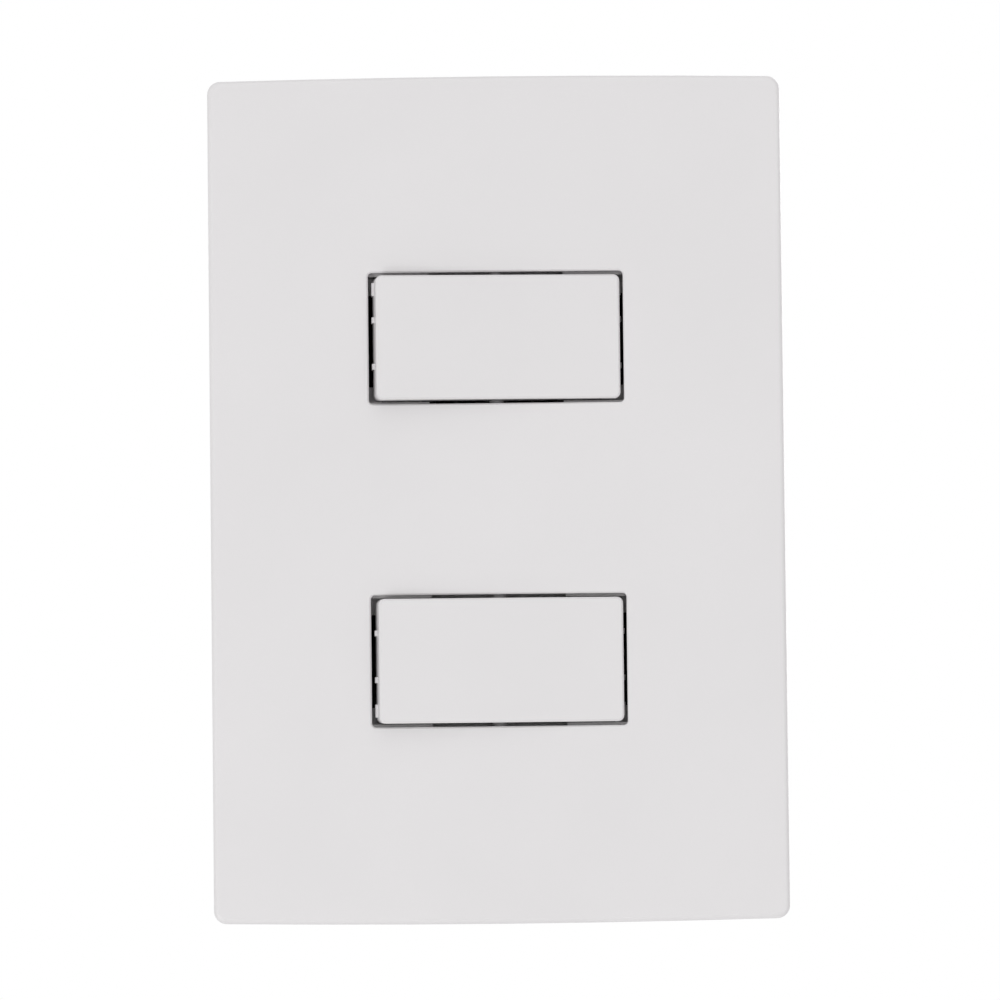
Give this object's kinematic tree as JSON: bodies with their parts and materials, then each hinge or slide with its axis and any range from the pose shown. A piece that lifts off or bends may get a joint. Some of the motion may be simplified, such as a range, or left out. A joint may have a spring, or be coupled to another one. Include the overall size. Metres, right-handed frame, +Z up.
{
  "type": "double light switch",
  "caption": "Wall plate with a two-module rocker switch, on a three-bay support frame with two box screws.",
  "frame": {"origin": "on the wall plane, midway between the two box screws", "axes": "+X to the right seen from the front, +Y into the wall, +Z up"},
  "size_m": [0.0804, 0.0338, 0.1186],
  "materials": {
    "plate_plastic": "smooth moulded white, satin gloss",
    "rocker_plastic": "smooth moulded white, satin gloss",
    "bezel_plastic": "smooth moulded white",
    "plunger_plastic": "natural acetal",
    "frame_plastic": "light grey moulded nylon",
    "housing_plastic": "dark grey moulded nylon",
    "contact_brass": "stamped brass",
    "clamp_brass": "machined brass",
    "silver_tip": "silver alloy contact",
    "spring_steel": "drawn spring wire",
    "terminal_screw": "zinc plated",
    "zinc_screw": "zinc plated"
  },
  "bodies": {
    "frame": {"cover_plate": "plate_plastic", "support_frame": "frame_plastic", "mounting_screw_top": "zinc_screw", "mounting_screw_bottom": "zinc_screw", "upper_bezel": "bezel_plastic", "upper_housing": "housing_plastic", "upper_rear_cover": "housing_plastic", "upper_fixed_tip": "silver_tip", "upper_common_strip": "contact_brass", "upper_line_strip": "contact_brass", "upper_common_clamp": "clamp_brass", "upper_line_clamp": "clamp_brass", "upper_common_screw": "terminal_screw", "upper_line_screw": "terminal_screw", "lower_bezel": "bezel_plastic", "lower_housing": "housing_plastic", "lower_rear_cover": "housing_plastic", "lower_fixed_tip": "silver_tip", "lower_common_strip": "contact_brass", "lower_line_strip": "contact_brass", "lower_common_clamp": "clamp_brass", "lower_line_clamp": "clamp_brass", "lower_common_screw": "terminal_screw", "lower_line_screw": "terminal_screw"},
    "upper_rocker_body": {"upper_rocker": "rocker_plastic", "upper_plunger_spring": "spring_steel"},
    "upper_plunger_body": {"upper_plunger": "plunger_plastic"},
    "upper_contact_body": {"upper_moving_contact": "contact_brass", "upper_moving_tip": "silver_tip"},
    "lower_rocker_body": {"lower_rocker": "rocker_plastic", "lower_plunger_spring": "spring_steel"},
    "lower_plunger_body": {"lower_plunger": "plunger_plastic"},
    "lower_contact_body": {"lower_moving_contact": "contact_brass", "lower_moving_tip": "silver_tip"}
  },
  "joints": [
    {"name": "upper_rocker_pivot", "type": "hinge", "parent": "frame", "child": "upper_rocker_body", "pos_m": [0, -0.0042, 0.0225], "axis": [0, 0, -1], "range_deg": [0, 8]},
    {"name": "upper_plunger_slide", "type": "slide", "parent": "upper_rocker_body", "child": "upper_plunger_body", "axis": [0.0698, -0.9976, 0], "range_m": [0, 0.0008], "stiffness_N_per_m": 400, "springref_m": -0.003, "deforming": ["upper_plunger_spring"]},
    {"name": "upper_contact_pivot", "type": "hinge", "parent": "frame", "child": "upper_contact_body", "pos_m": [0, 0.01025, 0.0225], "axis": [0, 0, 1], "range_deg": [0, 20]},
    {"name": "lower_rocker_pivot", "type": "hinge", "parent": "frame", "child": "lower_rocker_body", "pos_m": [0, -0.0042, -0.0225], "axis": [0, 0, -1], "range_deg": [0, 8]},
    {"name": "lower_plunger_slide", "type": "slide", "parent": "lower_rocker_body", "child": "lower_plunger_body", "axis": [0.0698, -0.9976, 0], "range_m": [0, 0.0008], "stiffness_N_per_m": 400, "springref_m": -0.003, "deforming": ["lower_plunger_spring"]},
    {"name": "lower_contact_pivot", "type": "hinge", "parent": "frame", "child": "lower_contact_body", "pos_m": [0, 0.01025, -0.0225], "axis": [0, 0, 1], "range_deg": [0, 20]}
  ],
  "couplings": [
    {"joint": "upper_contact_pivot", "follows": "upper_rocker_pivot", "ratio": 2.5},
    {"joint": "lower_contact_pivot", "follows": "lower_rocker_pivot", "ratio": 2.5}
  ]
}
